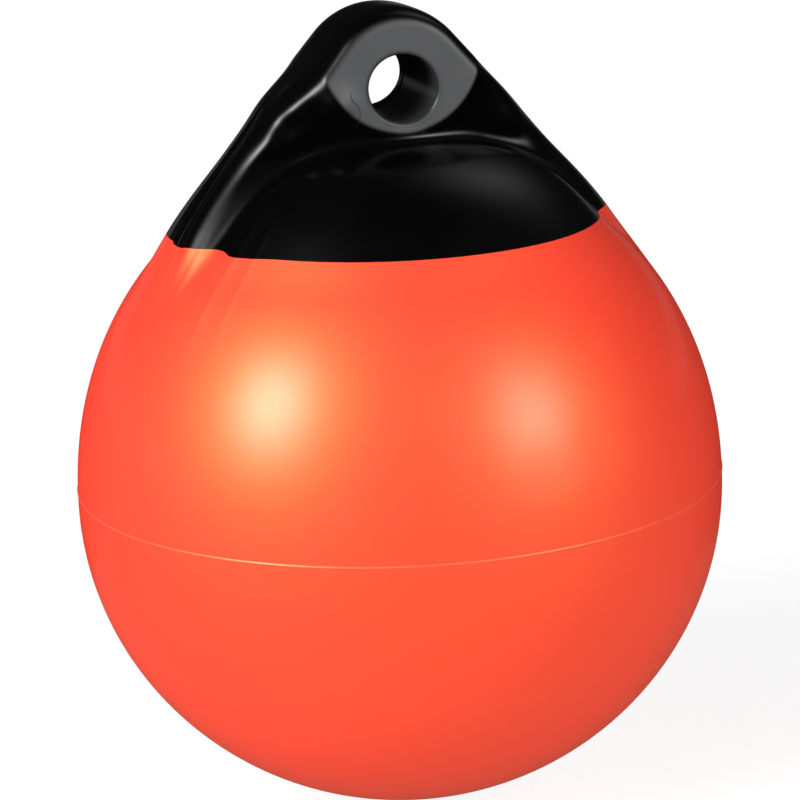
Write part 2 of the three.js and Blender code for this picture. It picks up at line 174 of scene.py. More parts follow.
class Skin:
    """The buoy's whole outer skin as one smooth form, below zero inside.

    Lengths are millimetres, and h is the height above the widest ring.
    """

    def __init__(self, sizes):
        for name in sizes.bl_rna.properties.keys():
            if name in ("rna_type", "name"):
                continue
            prop = sizes.bl_rna.properties[name]
            value = getattr(sizes, name)
            setattr(self, name, value / MM if prop.unit == "LENGTH" else value)

    def body(self, x, y, h):
        reach = np.where(h > 0, self.crown_height, self.base_depth)
        power = np.where(h > 0, self.crown_fullness, 2.0)
        out = np.hypot(x, y) / self.ball_radius
        up = np.abs(h) / reach
        return self.ball_radius * ((out ** power + up ** power) ** (1 / power) - 1)

    def crown(self, x, y, h):
        out = np.hypot(x, y) / self.dome_radius
        up = np.maximum(0, h - self.dome_base) / self.dome_rise
        power = self.dome_fullness
        sunk = CROWN_ROOT_SLOPE * np.maximum(0, self.dome_base - CROWN_ROOT - h)
        return self.dome_rise * ((out ** power + up ** power) ** (1 / power) - 1) + sunk

    def lug_outline(self, x, h):
        lean = self.flank_lean
        px = np.abs(x)
        ph = h - self.arch_height
        along = ph * math.cos(lean) - px * math.sin(lean)
        spread = np.where(x < 0, self.left_spread, self.right_spread) * ease(-along, *SPREAD_CHANGE)
        flank = px * math.cos(lean) + ph * math.sin(lean) - spread
        gap = np.where(along > 0, np.hypot(px, ph), flank) - self.arch_radius
        run_out = np.maximum(0, self.runout_height - h)
        return gap + run_out ** 2 / self.runout_length

    def neck(self, x, h):
        """How far a point lies outside the flat cheek, below its arc."""
        below = np.hypot(x, h - self.neck_height) - self.neck_radius
        return np.where(h < self.neck_height, np.maximum(0, below), 0.0)

    def lug_half(self, x, h):
        under_eye = np.minimum(self.eye_height - h, CHEEK_DEPTH)
        full = self.lug_half_thickness + math.tan(self.cheek_draft) * under_eye
        below = self.neck(x, h)
        gentle = below ** 2 / (2 * NECK_START)
        drop = self.neck_slope * np.where(below < NECK_START, gentle, below - NECK_START / 2)
        room = full - self.neck_half_thickness
        half = full - room * (1 - np.exp(-drop / room))
        across = np.abs(x) * math.cos(self.wing_lean)
        out = across + (h - self.arch_height) * math.sin(self.wing_lean) - self.wing_offset
        wing = ease(out, 0, self.wing_fade) * ease(self.eye_height - h, 0, WING_START)
        return half + (self.wing_half_thickness - half) * wing

    def lug(self, x, y, h):
        low = ease(self.eye_height - h, *EDGE_CHANGE)
        wing_rounding = np.where(x < 0, self.left_wing_rounding, self.wing_rounding)
        rounding = self.edge_rounding + (wing_rounding - self.edge_rounding) * low
        power = self.edge_squareness + (self.wing_squareness - self.edge_squareness) * low
        half = self.lug_half(x, h)
        in_edge = np.maximum(0, self.lug_outline(x, h) + rounding) / rounding
        across = np.abs(y) / half
        sunk = LUG_ROOT_SLOPE * np.maximum(0, self.root_height - h)
        return half * ((in_edge ** power + across ** power) ** (1 / power) - 1) + sunk

    def cheek(self, x, y, h):
        """1 on the flat cheeks, 0 elsewhere."""
        inside = -self.lug_outline(x, h) - self.edge_rounding * 0.35
        inner = ease(inside, 0, CHEEK_FADE) * (1 - ease(self.neck(x, h), *NECK_FADE))
        return inner * ease(np.abs(y) - self.lug_half(x, h), *FACE_FADE) * self.beside_eye(h)

    def beside_eye(self, h):
        return h > self.eye_height - EYE_ZONE

    def seam(self, turn):
        """Height of the colour seam, which steps a little where the folds cross it."""
        away = np.degrees(turn % (2 * math.pi)) - 180
        drop = sum(depth * ease(away, start, end) for start, end, depth in SEAM_STEPS)
        return self.seam_height - drop

    def fold_lift(self, x, y, h):
        lift = np.zeros_like(x)
        for fold in FOLDS:
            (top_h, top_y), (foot_h, foot_y) = fold["top"], fold["foot"]
            t = (top_h - h) / (top_h - foot_h)
            middle = top_y + (foot_y - top_y) * t
            fade = ease(t, 0, 0.25) * (1 - ease(t, 0.6, 1)) * (x * fold["edge"] > 0)
            across = np.exp(-((y - middle) / fold["width"]) ** 2)
            lift += fold["lift"] * fade * ease(np.abs(x), *FOLD_START) * across
        for bump in BUMPS:
            bx, by, bh = bump["at"]
            away = (x - bx) ** 2 + (y - by) ** 2 + (h - bh) ** 2
            lift += bump["lift"] * np.exp(-away / bump["radius"] ** 2)
        return lift

    def bead(self, h):
        off = np.abs(h - self.parting_height) / (self.bead_width / 2)
        return self.bead_height * ease(1 - off, 0, 1)

    def gap(self, x, y, h):
        blown = blend_smaller(self.body(x, y, h), self.crown(x, y, h), self.crown_fillet)
        low = 1 - ease(h, *FILLET_CHANGE)
        fillet = self.lug_fillet + (self.wing_fillet - self.lug_fillet) * low
        plain = blend_smaller(blown, self.lug(x, y, h), fillet)
        return plain - self.fold_lift(x, y, h) - self.bead(h)

    def hit(self, height, turn, rise):
        """Points of the skin along rays that leave the axis at a height."""
        out = np.cos(rise)
        dx, dy, dh = out * np.cos(turn), out * np.sin(turn), np.sin(rise)
        inside = np.zeros(np.broadcast(height, turn, rise).shape)
        outside = np.full_like(inside, RAY_REACH * self.ball_radius)
        for _ in range(RAY_STEPS):
            mid = (inside + outside) / 2
            within = self.gap(mid * dx, mid * dy, height + mid * dh) < 0
            inside = np.where(within, mid, inside)
            outside = np.where(within, outside, mid)
        return np.stack([inside * dx, inside * dy, height + inside * dh], -1)

    def normal(self, points, step=0.05):
        x, y, h = points[..., 0], points[..., 1], points[..., 2]
        grad = np.stack([
            self.gap(x + step, y, h) - self.gap(x - step, y, h),
            self.gap(x, y + step, h) - self.gap(x, y - step, h),
            self.gap(x, y, h + step) - self.gap(x, y, h - step)], -1)
        return grad / np.maximum(np.linalg.norm(grad, axis=-1, keepdims=True), 1e-12)

    def placed(self, points):
        """From millimetres about the widest ring to metres in the frame."""
        out = np.array(points, dtype=float) * MM
        out[..., 2] += self.base_depth * MM
        return out


def ring_mesh(name, rings, first=None, last=None):
    """A skin over a stack of closed rings, with an end point at either end if given.

    rings is (count, around, 3) in metres.
    """
    count, around = rings.shape[:2]
    verts = [rings.reshape(-1, 3)]
    j = np.arange(around)
    k = (j + 1) % around
    faces = []
    for r in range(count - 1):
        a, b = r * around, (r + 1) * around
        faces.append(np.stack([a + j, a + k, b + k, b + j], -1))
    quads = np.concatenate(faces)
    tris = []
    total = count * around
    if first is not None:
        verts.append(np.array([first]))
        tris.append(np.stack([np.full(around, total), k, j], -1))
        total += 1
    if last is not None:
        verts.append(np.array([last]))
        top = (count - 1) * around
        tris.append(np.stack([np.full(around, total), top + j, top + k], -1))
        total += 1
    verts = np.concatenate(verts)
    mesh = bpy.data.meshes.new(name)
    mesh.from_pydata(verts.tolist(), [], quads.tolist() + (np.concatenate(tris).tolist() if tris else []))
    mesh.update()
    mesh.shade_smooth()
    return mesh


def new_object(name, mesh):
    obj = bpy.data.objects.new(name, mesh)
    bpy.context.scene.collection.objects.link(obj)
    return obj


def turns(quarter):
    """Angles of a ring's points, closest together where the folds are."""
    t = np.arange(quarter) / quarter
    up, down = t ** CROWDING, 1 - (1 - t) ** CROWDING
    return np.concatenate([up, 1 + down, 2 + up, 3 + down]) * math.pi / 2


# Materials

def new_material(name):
    material = bpy.data.materials.new(name)
    material.use_nodes = True
    tree = material.node_tree
    tree.nodes.clear()
    out = tree.nodes.new("ShaderNodeOutputMaterial")
    shader = tree.nodes.new("ShaderNodeBsdfPrincipled")
    tree.links.new(shader.outputs["BSDF"], out.inputs["Surface"])
    return material, tree, shader


def add_node(tree, kind, **values):
    node = tree.nodes.new(kind)
    for key, value in values.items():
        if key.startswith("in_"):
            node.inputs[key[3:].replace("_", " ")].default_value = value
        else:
            setattr(node, key, value)
    return node


def object_coords(tree):
    return tree.nodes.new("ShaderNodeTexCoord").outputs["Object"]


def noise(tree, scale, detail=2.0, rough=0.5, coords=None):
    node = tree.nodes.new("ShaderNodeTexNoise")
    node.inputs["Scale"].default_value = scale
    node.inputs["Detail"].default_value = detail
    node.inputs["Roughness"].default_value = rough
    tree.links.new(coords or object_coords(tree), node.inputs["Vector"])
    return node.outputs["Fac"]


def ramp(tree, value, stops):
    node = tree.nodes.new("ShaderNodeValToRGB")
    elements = node.color_ramp.elements
    while len(elements) < len(stops):
        elements.new(0.5)
    for element, (place, colour) in zip(elements, stops):
        element.position = place
        element.color = (*colour, 1) if len(colour) == 3 else colour
    tree.links.new(value, node.inputs["Fac"])
    return node.outputs["Color"]


def math_node(tree, operation, a, b=None, c=None, clamp=False):
    node = tree.nodes.new("ShaderNodeMath")
    node.operation = operation
    node.use_clamp = clamp
    for socket, value in zip(node.inputs, (a, b, c)):
        if value is None:
            continue
        if isinstance(value, (int, float)):
            socket.default_value = value
        else:
            tree.links.new(value, socket)
    return node.outputs["Value"]


def bump_node(tree, height, strength, distance, after=None):
    node = tree.nodes.new("ShaderNodeBump")
    node.inputs["Strength"].default_value = strength
    node.inputs["Distance"].default_value = distance
    tree.links.new(height, node.inputs["Height"])
    if after is not None:
        tree.links.new(after, node.inputs["Normal"])
    return node.outputs["Normal"]


def gloss(shader, roughness, level, tint, coat):
    """Vinyl: a body gloss, under a thin clear skin that mirrors the lamps where coat is above 0."""
    shader.inputs["Roughness"].default_value = roughness
    shader.inputs["IOR"].default_value = 1.5
    shader.inputs["Specular IOR Level"].default_value = level
    shader.inputs["Specular Tint"].default_value = (*tint, 1)
    shader.inputs["Coat Weight"].default_value = coat
    shader.inputs["Coat Roughness"].default_value = 0.03
    shader.inputs["Coat IOR"].default_value = 1.5


def cloudy(tree, cloud, colour, dark, light, start=0.3):
    """The colour, varied a little by a cloud: dark and light are factors on it."""
    c = np.array(colour)
    low, high = np.minimum(1, c * dark), np.minimum(1, c * light)
    return ramp(tree, cloud, [(start, tuple(low)), (0.7, tuple(high))])


def orange_vinyl(looks):
    material, tree, shader = new_material("orange_vinyl")
    coords = object_coords(tree)
    cloud = noise(tree, 6.0, 2.0, 0.5, coords)
    base = cloudy(tree, cloud, looks.orange, (0.99, 0.94, 0.94), (1.0, 1.06, 1.06))
    # the parting line is a little paler where the mould pinched the vinyl
    split = tree.nodes.new("ShaderNodeSeparateXYZ")
    tree.links.new(coords, split.inputs["Vector"])
    sizes = bpy.context.scene.buoy_sizes
    over = math_node(tree, "SUBTRACT", split.outputs["Z"], sizes.base_depth + sizes.parting_height)
    off = math_node(tree, "DIVIDE", math_node(tree, "ABSOLUTE", over), sizes.bead_width * 0.55)
    line = math_node(tree, "SUBTRACT", 1.0, off, clamp=True)
    mix = add_node(tree, "ShaderNodeMix", data_type="RGBA")
    tree.links.new(math_node(tree, "MULTIPLY", line, 0.6), mix.inputs["Factor"])
    tree.links.new(base, mix.inputs["A"])
    mix.inputs["B"].default_value = (*looks.parting, 1)
    tree.links.new(mix.outputs["Result"], shader.inputs["Base Color"])
    gloss(shader, looks.orange_roughness, looks.orange_level, looks.orange_gloss, looks.coat)
    waves = noise(tree, 9.0, 1.0, 0.4, coords)
    grain = noise(tree, 900.0, 2.0, 0.5, coords)
    soft = bump_node(tree, waves, 0.12, 0.003)
    tree.links.new(bump_node(tree, grain, 0.03, 0.0002, soft), shader.inputs["Normal"])
    return material


def black_vinyl(looks):
    material, tree, shader = new_material("black_vinyl")
    coords = object_coords(tree)
    cloud = noise(tree, 14.0, 3.0, 0.55, coords)
    base = cloudy(tree, cloud, looks.black, 0.8, 1.25)
    # the flat cheeks are moulded against steel and are more satin; the lighter grey mixed in on them is a
    # painted sheen, standing in for the light they mirror
    cheek = add_node(tree, "ShaderNodeAttribute", attribute_name="cheek").outputs["Fac"]
    satin_and_painted_sheen = cloudy(tree, cloud, looks.satin_and_painted_sheen, 0.93, 1.07)
    mix = add_node(tree, "ShaderNodeMix", data_type="RGBA")
    tree.links.new(cheek, mix.inputs["Factor"])
    tree.links.new(base, mix.inputs["A"])
    tree.links.new(satin_and_painted_sheen, mix.inputs["B"])
    # one hairline flow mark beside the eye
    flaw = hairline(tree, coords)
    dark = add_node(tree, "ShaderNodeMix", data_type="RGBA")
    tree.links.new(flaw, dark.inputs["Factor"])
    tree.links.new(mix.outputs["Result"], dark.inputs["A"])
    dark.inputs["B"].default_value = (0.0008, 0.0008, 0.0008, 1)
    tree.links.new(dark.outputs["Result"], shader.inputs["Base Color"])
    gloss(shader, looks.black_roughness, looks.black_level, (1, 1, 1), 0.0)
    rough = add_node(tree, "ShaderNodeMapRange")
    tree.links.new(cheek, rough.inputs["Value"])
    rough.inputs["To Min"].default_value = looks.black_roughness
    rough.inputs["To Max"].default_value = looks.satin_roughness
    tree.links.new(rough.outputs["Result"], shader.inputs["Roughness"])
    waves = noise(tree, 16.0, 1.0, 0.4, coords)
    grain = noise(tree, 1200.0, 2.0, 0.5, coords)
    soft = bump_node(tree, waves, 0.1, 0.002)
    fine = bump_node(tree, grain, 0.04, 0.0002, soft)
    sunk = math_node(tree, "MULTIPLY", flaw, -1.0)
    tree.links.new(bump_node(tree, sunk, 0.8, 0.0004, fine), shader.inputs["Normal"])
    return material


def hairline(tree, coords):
    """A mask for the crooked hairline on the front cheek, left of the eye."""
    split = tree.nodes.new("ShaderNodeSeparateXYZ")
    tree.links.new(coords, split.inputs["Vector"])
    low, high = HAIRLINE[0][1], HAIRLINE[-1][1]
    bottom = bpy.context.scene.buoy_sizes.base_depth
    up = math_node(tree, "SUBTRACT", split.outputs["Z"], bottom + low * MM)
    t = math_node(tree, "DIVIDE", up, (high - low) * MM)
    curve = tree.nodes.new("ShaderNodeFloatCurve")
    line = curve.mapping.curves[0]
    left = min(x for x, h in HAIRLINE)
    span = max(x for x, h in HAIRLINE) - left
    spots = [((h - low) / (high - low), (x - left) / span) for x, h in HAIRLINE]
    line.points[0].location = spots[0]
    line.points[1].location = spots[-1]
    for spot in spots[1:-1]:
        line.points.new(*spot)
    curve.mapping.update()
    tree.links.new(t, curve.inputs["Value"])
    place = math_node(tree, "MULTIPLY_ADD", curve.outputs["Value"], span * MM, left * MM)
    off = math_node(tree, "ABSOLUTE", math_node(tree, "SUBTRACT", split.outputs["X"], place))
    near = math_node(tree, "SUBTRACT", 1.0, math_node(tree, "DIVIDE", off, HAIRLINE_WIDTH * MM), clamp=True)
    started = math_node(tree, "GREATER_THAN", t, 0.0)
    inside = math_node(tree, "MULTIPLY", started, math_node(tree, "LESS_THAN", t, 1.0))
    front = math_node(tree, "LESS_THAN", split.outputs["Y"], -HAIRLINE_FRONT * MM)
    return math_node(tree, "MULTIPLY", math_node(tree, "MULTIPLY", near, inside), front)


def valve_rubber(looks):
    material, tree, shader = new_material("valve_rubber")
    coords = object_coords(tree)
    speck = noise(tree, 1500.0, 3.0, 0.6, coords)
    tree.links.new(cloudy(tree, speck, looks.rubber, 0.8, 1.4, 0.35), shader.inputs["Base Color"])
    shader.inputs["Roughness"].default_value = looks.rubber_roughness
    tree.links.new(bump_node(tree, speck, 0.2, 0.0002), shader.inputs["Normal"])
    return material


# Properties

def length(name, text, mm):
    return FloatProperty(name=name, description=text, default=mm * MM, min=0.0,
                         subtype="DISTANCE", unit="LENGTH", precision=4)


def angle(name, text, degrees):
    return FloatProperty(name=name, description=text, default=math.radians(degrees),
                         subtype="ANGLE", unit="ROTATION")


def number(name, text, value, low=0.0, high=400.0):
    return FloatProperty(name=name, description=text, default=value, min=low, max=high)


def share(name, text, value):
    return FloatProperty(name=name, description=text, default=value, min=0.0, max=1.0, subtype="FACTOR")


def colour(name, text, value):
    return FloatVectorProperty(name=name, description=text, default=value, size=3,
                               min=0.0, max=1.0, subtype="COLOR")


class BUOY_PG_sizes(bpy.types.PropertyGroup):
    """Sizes of the skin. Heights are above the widest ring."""
    ball_radius: length("Ball radius", "Radius of the widest ring", 190.0)
    crown_height: length("Crown height", "Height of the blown crown, had it no lug", 200.0)
    base_depth: length("Base depth", "Depth of the base below the widest ring", 186.6)
    crown_fullness: number("Crown fullness", "2 is a true ellipse, more is fuller", 2.08, 1.5, 4.0)
    parting_height: length("Parting line height", "Height of the mould line", 8.5)
    bead_height: length("Parting bead height", "How far the mould line stands out", 0.4)
    bead_width: length("Parting bead width", "Width of the mould line", 1.8)
    seam_height: length("Seam height", "Height of the colour seam", 159.4)
    dome_base: length("Crown base", "Height that the round crown stands on", 120.0)
    dome_radius: length("Crown radius", "Radius of the round crown at its base", 126.0)
    dome_rise: length("Crown rise", "Height of the round crown over its base", 93.0)
    dome_fullness: number("Crown squareness", "2 is a true ellipse, more is fuller", 2.3, 1.5, 4.0)
    arch_height: length("Arch height", "Height of the centre of the arch", 238.0)
    arch_radius: length("Arch radius", "Radius of the arched top", 46.0)
    lug_half_thickness: length("Lug half thickness", "Half of the lug from cheek to cheek, at the eye", 37.0)
    cheek_draft: angle("Cheek draft", "How far the cheeks lean in towards the top", 7)
    neck_height: length("Neck arc height", "Height of the centre of the arc that ends the flat cheek", 262.5)
    neck_radius: length("Neck arc radius", "Radius of the arc that ends the flat cheek", 45.5)
    neck_slope: number("Neck slope", "How fast the lug draws in below the cheek", 0.55, 0.0, 2.0)
    neck_half_thickness: length("Neck half thickness", "Half of the lug's thickness at its neck", 27.0)
    flank_lean: angle("Flank lean", "Lean of the flanks from upright", 40.7)
    left_spread: length("Left flank spread", "How much further out the left flank runs", 3.0)
    right_spread: length("Right flank spread", "How much further out the right flank runs", 1.2)
    runout_height: length("Flank run-out height", "The flanks draw in below this height", 193.0)
    runout_length: length("Flank run-out length", "More makes the flanks draw in more slowly", 390.0)
    wing_half_thickness: length("Wing half thickness", "Half of the thickness along the flanks", 25.0)
    wing_lean: angle("Wing lean", "Lean of the line where the wings begin", 34.6)
    wing_offset: length("Wing offset", "Distance of that line from the arch's centre", 36.0)
    wing_fade: length("Wing fade", "Width over which the lug thins to the wings", 26.0)
    root_height: length("Lug root height", "The lug's root fades into the ball below this height", 125.0)
    edge_rounding: length("Edge rounding", "How far in from its outline the flat cheek ends", 12.0)
    wing_rounding: length("Wing rounding", "The same on the right wing", 15.0)
    left_wing_rounding: length("Left wing rounding", "The same on the left wing", 9.0)
    edge_squareness: number("Edge squareness", "2 is an elliptic edge, more is squarer", 3.5, 1.5, 6.0)
    wing_squareness: number("Wing squareness", "2 is an elliptic edge, more is squarer", 2.4, 1.5, 6.0)
    crown_fillet: length("Crown fillet", "Size of the fillet between body and crown", 10.0)
    lug_fillet: length("Lug fillet", "Size of the fillet between crown and lug", 9.0)
    wing_fillet: length("Wing fillet", "Size of the fillet between crown and wings", 18.0)
    eye_height: length("Eye height", "Height of the rope eye's centre", 239.5)
    eye_half_height: length("Eye half height", "Half of the rope eye's height", 18.8)
    eye_oval: number("Eye oval", "Width over height of the rope eye", 1.06, 0.5, 2.0)
    eye_lip: length("Eye lip", "Radius of the rounded lip", 2.5)
    eye_land: length("Eye land", "Length of the narrow land inside the lip", 5.0)
    eye_step: length("Eye step", "How much wider the bore is behind the land", 0.6)
    valve_height: length("Valve height", "Height of the needle valve in the back of the head", 176.0)


class BUOY_PG_looks(bpy.types.PropertyGroup):
    """Colours and gloss. A roughness of 0 is a mirror."""
    orange: colour("Ball colour", "Colour of the ball's vinyl", (0.95, 0.046, 0.029))
    orange_roughness: share("Ball roughness", "Roughness of the ball's body gloss", 0.48)
    orange_level: share("Ball gloss", "Strength of the ball's body gloss", 0.85)
    orange_gloss: colour("Ball gloss tint", "Tint of the ball's body gloss", (1.0, 1.0, 0.2))
    coat: share("Clear skin", "Strength of the mirror on the ball's clear skin", 0.3)
    parting: colour("Parting line colour", "Colour of the pinched mould line", (1.0, 0.13, 0.07))
    black: colour("Head colour", "Colour of the head's vinyl", (0.0009, 0.0009, 0.001))
    black_roughness: share("Head roughness", "Roughness of the head", 0.18)
    black_level: share("Head gloss", "Strength of the head's gloss", 0.22)
    # The cheek colour is a painted sheen: a grey standing in for the light that the satin cheeks mirror.
    satin_and_painted_sheen: colour("Cheek colour", "Colour of the satin cheeks", (0.06, 0.061, 0.063))
    satin_roughness: share("Cheek roughness", "Roughness of the flat cheeks", 0.4)
    # This share gives the bore part of the satin roughness and part of the grey painted sheen.
    bore_satin_and_painted_sheen: share("Bore satin", "How near the bore's finish is to the cheeks'", 0.35)
    rubber: colour("Valve colour", "Colour of the valve's rubber", (0.012, 0.012, 0.012))
    rubber_roughness: share("Valve roughness", "Roughness of the valve's rubber", 0.6)
    around: IntProperty(name="Fineness", description="Facets in a quarter turn of the skin",
                        default=96, min=12, max=160)


class BUOY_PG_stage(bpy.types.PropertyGroup):
    """Camera and lamps."""
    azimuth: angle("Camera azimuth", "Turn of the camera round the buoy", -16.82)
    elevation: angle("Camera elevation", "Height of the camera as an angle", 16.35)
    roll: angle("Camera roll", "Tilt of the picture", -2.21)
    distance: length("Camera distance", "From the ball's centre to the camera", 1710.0)
    lens: number("Lens", "Focal length in millimetres", 129.63, 10.0)
    key: number("Key lamp", "Brightness of the soft lamp on the left", 26.0)
    fill: number("Fill lamp", "Brightness of the soft lamp on the right", 12.0)
    room: number("Room", "Brightness of the dim room", 0.012)
    screen: number("Screen", "Brightness of the pale screen that the gloss mirrors on the right", 0.8)
    sheet: share("Sheet", "Brightness of the white sheet under the ball where the gloss mirrors it", 0.12)
    cloth: share("Backdrop", "Brightness of the backdrop where the gloss mirrors it", 0.15)


# Operators

class BUOY_OT_float_ball(bpy.types.Operator):
    """Blown vinyl ball, from its base to the colour seam"""
    bl_idname = "buoy.float_ball"
    bl_label = "Float ball"

    def execute(self, context):
        scene = context.scene
        skin = Skin(scene.buoy_sizes)
        around = turns(scene.buoy_looks.around)[None, :]
        rises = np.linspace(-math.pi / 2, 0, BASE_RINGS)[1:-1, None]
        low = skin.hit(0.0, around, rises)
        half_bead = np.array([0.25, 0.5, 0.75, 1, 1.2, 2, 3]) * skin.bead_width / 2
        bead = skin.parting_height + np.concatenate([-half_bead[::-1], [0], half_bead])
        above = np.linspace(bead[-1], skin.seam_height, BALL_RINGS)[1:]
        heights = np.concatenate([np.linspace(0, bead[0], 4)[:-1], bead, above])
        near = ease(heights, skin.seam_height - SEAM_BLEND, skin.seam_height)[:, None]
        stepped = heights[:, None] + near * (skin.seam(around) - skin.seam_height)
        high = skin.hit(stepped, around, np.zeros((1, 1)))
        points = np.concatenate([low, high])
        pole = skin.hit(np.zeros(1), np.zeros(1), np.full(1, -math.pi / 2))[0]
        rim = np.array([0, 0, skin.seam_height])
        mesh = ring_mesh("float_ball_skin", skin.placed(points), skin.placed(pole), skin.placed(rim))
        shade(mesh, skin, points.reshape(-1, 3))
        obj = new_object("float_ball_skin", mesh)
        mesh.materials.append(orange_vinyl(scene.buoy_looks))
        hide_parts("float_ball")
        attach(obj, "root")
        return {"FINISHED"}


def shade(mesh, skin, points):
    """Sets smooth normals that come from the form itself, and plain ones at the two end points."""
    normals = np.concatenate([skin.normal(points), [(0, 0, -1), (0, 0, 1)]])
    mesh.normals_split_custom_set_from_vertices(normals.tolist())


def head_guide(skin, s):
    """Where ring s of the head meets the lug's narrow edge and its broad side.

    s runs from 0 at the seam to 1 at the top. The shares say how much of that the arch, the crown
    and the top take up.
    """
    lean = skin.flank_lean
    arch_share = 0.225
    shoulder = (skin.arch_radius * math.cos(lean), skin.arch_height + skin.arch_radius * math.sin(lean))
    foot = (shoulder[0] + (shoulder[1] - skin.seam_height) * math.tan(lean), skin.seam_height)
    if s < 1 - arch_share:
        t = s / (1 - arch_share)
        edge = (foot[0] + (shoulder[0] - foot[0]) * t, foot[1] + (shoulder[1] - foot[1]) * t)
    else:
        angle = lean + (math.pi / 2 - lean) * (s - 1 + arch_share) / arch_share
        edge = (skin.arch_radius * math.cos(angle), skin.arch_height + skin.arch_radius * math.sin(angle))
    crown_share, top_share = 0.4, 0.22
    half = skin.lug_half_thickness
    shelf = skin.crown_height - 3
    top = skin.arch_height + skin.arch_radius
    brow = top - 13
    if s < crown_share:
        t = s / crown_share
        reach = skin.ball_radius * math.sqrt(1 - (skin.seam_height / skin.crown_height) ** 2)
        full = math.acos(half / reach)
        angle = math.acos(1 + (half / reach - 1) * t)
        climb = math.sin(angle / full * math.pi / 2)
        side = (reach + (half - reach) * t, skin.seam_height + (shelf - skin.seam_height) * climb)
    elif s < 1 - top_share:
        side = (half, shelf + (brow - shelf) * (s - crown_share) / (1 - top_share - crown_share))
    else:
        angle = (s - 1 + top_share) / top_share * math.pi / 2
        side = (half * math.cos(angle), brow + (top - brow) * math.sin(angle))
    return edge, side


def eye_profile(skin):
    """Half of the eye's outline, from the bore out past the cheek: radius and distance along the eye."""
    face, r, lip, step = skin.lug_half_thickness, skin.eye_half_height, skin.eye_lip, skin.eye_step
    land_end = face - lip - skin.eye_land
    half = [(r + step, land_end - step), (r + step * 0.5, land_end - step * 0.4), (r, land_end)]
    for i in range(LIP_STEPS + 1):
        angle = i / LIP_STEPS * math.pi / 2
        half.append((r + lip * (1 - math.cos(angle)), face - lip + lip * math.sin(angle)))
    half.append((r + lip, face + EYE_OVERRUN))
    return half


class BUOY_OT_rope_head(bpy.types.Operator):
    """Rope head: crown, lug, folds and the lipped rope eye"""
    bl_idname = "buoy.rope_head"
    bl_label = "Rope head"

    def execute(self, context):
        scene = context.scene
        skin = Skin(scene.buoy_sizes)
        around = turns(scene.buoy_looks.around)
        rings = []
        for i in range(HEAD_RINGS):
            s = i / HEAD_RINGS
            edge, side = head_guide(skin, s)
            height = skin.seam_height + (skin.arch_height - skin.seam_height) * s ** 1.2
            rise_edge = math.atan2(max(0, edge[1] - height), edge[0])
            rise_side = math.atan2(max(0, side[1] - height), side[0])
            rise = rise_edge + (rise_side - rise_edge) * np.sin(around) ** 2
            height = height + (skin.seam(around) - skin.seam_height) * (1 - ease(s, 0, 0.12))
            rings.append(skin.hit(height, around, rise if i else 0 * around))
        points = np.array(rings)
        top = skin.hit(np.array([skin.arch_height]), np.zeros(1), np.full(1, math.pi / 2))[0]
        foot = np.array([0, 0, skin.seam_height])
        mesh = ring_mesh("rope_head_moulding", skin.placed(points), skin.placed(foot), skin.placed(top))
        obj = new_object("rope_head_moulding", mesh)
        cut_eye(obj, skin)
        finish_normals(obj.data, skin, scene.buoy_looks.bore_satin_and_painted_sheen)
        obj.data.materials.append(black_vinyl(scene.buoy_looks))
        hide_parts("rope_head")
        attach(obj, "root")
        return {"FINISHED"}


def cut_eye(obj, skin):
    """Cuts the rope eye through the lug, with lips that follow the leaning cheeks."""
    half = eye_profile(skin)
    line = np.array([(r, -y) for r, y in reversed(half)] + half)
    r, along = line[:, :1], line[:, 1:]
    turn = -np.arange(EYE_AROUND) / EYE_AROUND * 2 * math.pi
    lean = math.tan(skin.cheek_draft) / skin.lug_half_thickness
    x, rise = r * np.cos(turn) * skin.eye_oval, r * np.sin(turn)
    rings = np.stack([x, along * (1 - lean * rise), skin.eye_height + rise], -1)
    first = np.array([0, line[0][1], skin.eye_height])
    last = np.array([0, line[-1][1], skin.eye_height])
    mesh = ring_mesh("eye_cutter", skin.placed(rings), skin.placed(first), skin.placed(last))
    cutter = new_object("eye_cutter", mesh)
    cut = obj.modifiers.new("eye", "BOOLEAN")
    cut.operation = "DIFFERENCE"
    cut.solver = "EXACT"
    cut.object = cutter
    graph = bpy.context.evaluated_depsgraph_get()
    result = bpy.data.meshes.new_from_object(obj.evaluated_get(graph))
    old = obj.data
    obj.modifiers.clear()
    obj.data = result
    result.name = "rope_head_moulding"
    bpy.data.meshes.remove(old)
    bpy.data.objects.remove(cutter)
    bpy.data.meshes.remove(mesh)


